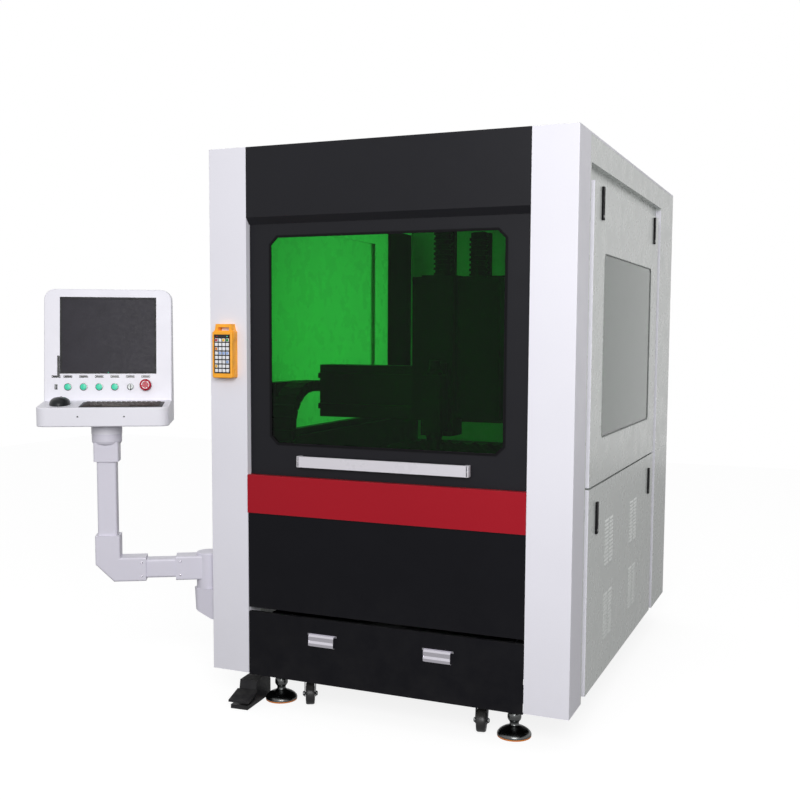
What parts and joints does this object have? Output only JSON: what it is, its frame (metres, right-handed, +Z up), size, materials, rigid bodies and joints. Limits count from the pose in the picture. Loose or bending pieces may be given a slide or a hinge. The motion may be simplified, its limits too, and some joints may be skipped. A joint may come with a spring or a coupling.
{
  "type": "enclosed fiber laser cutting machine",
  "caption": "Enclosed laser cutting machine: lifting front door with green window, gantry and cutting head over a slatted table, waste drawer, console on a swivelling arm.",
  "frame": {"origin": "on the floor, in the middle of the footprint of the whole object, console and rear duct spigot included", "axes": "+Z up, the front with the door and drawer faces -Y, +X towards the operator's right"},
  "size_m": [1.8929, 2.1166, 1.9],
  "materials": {
    "white_paint": "fine textured semi-gloss",
    "dark_paint": "fine textured satin",
    "red_paint": "satin",
    "light_grey_paint": "satin",
    "console_paint": "fine textured satin",
    "arm_paint": "satin",
    "frame_paint": "matt",
    "steel": "bright",
    "cast_bed": "machined",
    "aluminium_beam": "dark anodised",
    "green_glass": "laser-safety green",
    "dark_glass": "laser-safety dark green",
    "black_plastic": "matt",
    "screen_glass": "gloss",
    "green_button": "gloss",
    "red_button": "gloss",
    "orange_case": "satin",
    "orange_pad": "matt",
    "wheel_polymer": "matt",
    "zinc": "zinc plated",
    "grey_plastic": "matt"
  },
  "bodies": {
    "machine": {"base_frame": "frame_paint", "machine_bed": "cast_bed", "table_rim": "steel", "slat_table": "steel", "column_left": "white_paint", "column_right": "white_paint", "top_fascia": "dark_paint", "roof_panel": "white_paint", "rear_panel": "white_paint", "side_frame_left": "white_paint", "side_frame_right": "white_paint", "red_band": "red_paint", "lower_front_panel": "dark_paint", "arm_bracket": "arm_paint", "levelling_feet": "zinc", "foot_pads": "orange_pad", "laser_source": "black_plastic", "control_cabinet": "light_grey_paint", "remote_case": "orange_case", "remote_keypad": "black_plastic", "door_rails": "steel", "foot_switch_housing": "grey_plastic"},
    "front_door": {"door_frame": "dark_paint", "door_glass": "green_glass", "door_handle": "light_grey_paint"},
    "drawer": {"waste_drawer": "dark_paint", "drawer_handles": "zinc"},
    "upper_panel_r": {"upper_panel_right": "white_paint", "side_window_right": "dark_glass"},
    "upper_panel_l": {"upper_panel_left": "white_paint"},
    "lower_panel_r": {"lower_panel_right": "white_paint"},
    "lower_panel_l": {"lower_panel_left": "white_paint"},
    "gantry": {"gantry_beam": "aluminium_beam", "cable_chain": "black_plastic"},
    "carriage": {"x_carriage": "black_plastic"},
    "head": {"cutting_head": "steel"},
    "arm": {"arm_swivel": "arm_paint", "arm_tube_level": "arm_paint", "arm_elbow": "arm_paint", "arm_tube_upright": "arm_paint", "arm_coupling": "arm_paint"},
    "console": {"console_housing": "console_paint", "screen": "screen_glass", "keyboard": "black_plastic", "mouse": "black_plastic"},
    "key": {"key_switch": "zinc"},
    "stop_button": {"emergency_stop": "red_button"},
    "pedal": {"foot_pedal": "black_plastic"},
    "button_1": {"push_button_1": "green_button"},
    "button_2": {"push_button_2": "green_button"},
    "button_3": {"push_button_3": "green_button"},
    "button_4": {"push_button_4": "green_button"},
    "fork_front_left": {"castor_fork_front_left": "zinc"},
    "wheel_front_left": {"castor_wheel_front_left": "wheel_polymer"},
    "fork_front_right": {"castor_fork_front_right": "zinc"},
    "wheel_front_right": {"castor_wheel_front_right": "wheel_polymer"},
    "fork_rear_left": {"castor_fork_rear_left": "zinc"},
    "wheel_rear_left": {"castor_wheel_rear_left": "wheel_polymer"},
    "fork_rear_right": {"castor_fork_rear_right": "zinc"},
    "wheel_rear_right": {"castor_wheel_rear_right": "wheel_polymer"}
  },
  "joints": [
    {"name": "front_door_lift", "type": "slide", "parent": "machine", "child": "front_door", "axis": [0, 0, 1], "range_m": [0, 0.65]},
    {"name": "drawer_slide", "type": "slide", "parent": "machine", "child": "drawer", "axis": [0, -1, 0], "range_m": [0, 0.6]},
    {"name": "upper_panel_right_tilt", "type": "hinge", "parent": "machine", "child": "upper_panel_r", "pos_m": [0.94171, 0.04716, 0.803], "axis": [0, 1, 0], "range_deg": [0, 30]},
    {"name": "upper_panel_left_tilt", "type": "hinge", "parent": "machine", "child": "upper_panel_l", "pos_m": [-0.32429, 0.04716, 0.803], "axis": [0, -1, 0], "range_deg": [0, 30]},
    {"name": "lower_panel_right_tilt", "type": "hinge", "parent": "machine", "child": "lower_panel_r", "pos_m": [0.94171, 0.04716, 0.127], "axis": [0, 1, 0], "range_deg": [0, 30]},
    {"name": "lower_panel_left_tilt", "type": "hinge", "parent": "machine", "child": "lower_panel_l", "pos_m": [-0.32429, 0.04716, 0.127], "axis": [0, -1, 0], "range_deg": [0, 30]},
    {"name": "gantry_travel", "type": "slide", "parent": "machine", "child": "gantry", "axis": [0, 1, 0], "range_m": [-0.05, 0.85]},
    {"name": "carriage_travel", "type": "slide", "parent": "gantry", "child": "carriage", "axis": [1, 0, 0], "range_m": [-0.35, 0.14]},
    {"name": "head_lift", "type": "slide", "parent": "carriage", "child": "head", "axis": [0, 0, 1], "range_m": [-0.01, 0.09]},
    {"name": "arm_swing", "type": "hinge", "parent": "machine", "child": "arm", "pos_m": [-0.38429, -0.68034, 0.45], "axis": [0, 0, 1], "range_deg": [-31, 45]},
    {"name": "console_swivel", "type": "hinge", "parent": "arm", "child": "console", "pos_m": [-0.68173, -0.85906, 0.937], "axis": [0, 0, 1], "range_deg": [-45, 45]},
    {"name": "key_turn", "type": "hinge", "parent": "console", "child": "key", "pos_m": [-0.64861, -0.76817, 1.09562], "axis": [-0.5112, 0.8508, -0.1219], "range_deg": [0, 90]},
    {"name": "emergency_stop_press", "type": "slide", "parent": "console", "child": "stop_button", "axis": [-0.5112, 0.8508, -0.1219], "range_m": [0, 0.004], "stiffness_N_per_m": 2500, "springref_m": -0.004},
    {"name": "pedal_press", "type": "hinge", "parent": "machine", "child": "pedal", "pos_m": [-0.20274, -0.732, 0.037], "axis": [0.9973, 0.0732, 0], "range_deg": [0, 9], "stiffness_Nm_per_rad": 2.5, "springref_deg": -11.46},
    {"name": "button_1_press", "type": "slide", "parent": "console", "child": "button_1", "axis": [-0.5112, 0.8508, -0.1219], "range_m": [0, 0.003], "stiffness_N_per_m": 700, "springref_m": -0.003},
    {"name": "button_2_press", "type": "slide", "parent": "console", "child": "button_2", "axis": [-0.5112, 0.8508, -0.1219], "range_m": [0, 0.003], "stiffness_N_per_m": 700, "springref_m": -0.003},
    {"name": "button_3_press", "type": "slide", "parent": "console", "child": "button_3", "axis": [-0.5112, 0.8508, -0.1219], "range_m": [0, 0.003], "stiffness_N_per_m": 700, "springref_m": -0.003},
    {"name": "button_4_press", "type": "slide", "parent": "console", "child": "button_4", "axis": [-0.5112, 0.8508, -0.1219], "range_m": [0, 0.003], "stiffness_N_per_m": 700, "springref_m": -0.003},
    {"name": "castor_swivel_front_left", "type": "hinge", "parent": "machine", "child": "fork_front_left", "pos_m": [-0.00829, -0.62884, 0.1], "axis": [0, 0, 1], "continuous": true},
    {"name": "wheel_spin_front_left", "type": "hinge", "parent": "fork_front_left", "child": "wheel_front_left", "pos_m": [0.00392, -0.6518, 0.041], "axis": [0.8829, 0.4695, 0], "continuous": true},
    {"name": "castor_swivel_front_right", "type": "hinge", "parent": "machine", "child": "fork_front_right", "pos_m": [0.62571, -0.62884, 0.1], "axis": [0, 0, 1], "continuous": true},
    {"name": "wheel_spin_front_right", "type": "hinge", "parent": "fork_front_right", "child": "wheel_front_right", "pos_m": [0.63112, -0.65427, 0.041], "axis": [0.9781, 0.2079, 0], "continuous": true},
    {"name": "castor_swivel_rear_left", "type": "hinge", "parent": "machine", "child": "fork_rear_left", "pos_m": [-0.00829, 0.87516, 0.1], "axis": [0, 0, 1], "continuous": true},
    {"name": "wheel_spin_rear_left", "type": "hinge", "parent": "fork_rear_left", "child": "wheel_rear_left", "pos_m": [-0.01718, 0.85073, 0.041], "axis": [0.9397, -0.342, 0], "continuous": true},
    {"name": "castor_swivel_rear_right", "type": "hinge", "parent": "machine", "child": "fork_rear_right", "pos_m": [0.62571, 0.87516, 0.1], "axis": [0, 0, 1], "continuous": true},
    {"name": "wheel_spin_rear_right", "type": "hinge", "parent": "fork_rear_right", "child": "wheel_rear_right", "pos_m": [0.63288, 0.85017, 0.041], "axis": [0.9613, 0.2756, 0], "continuous": true}
  ]
}
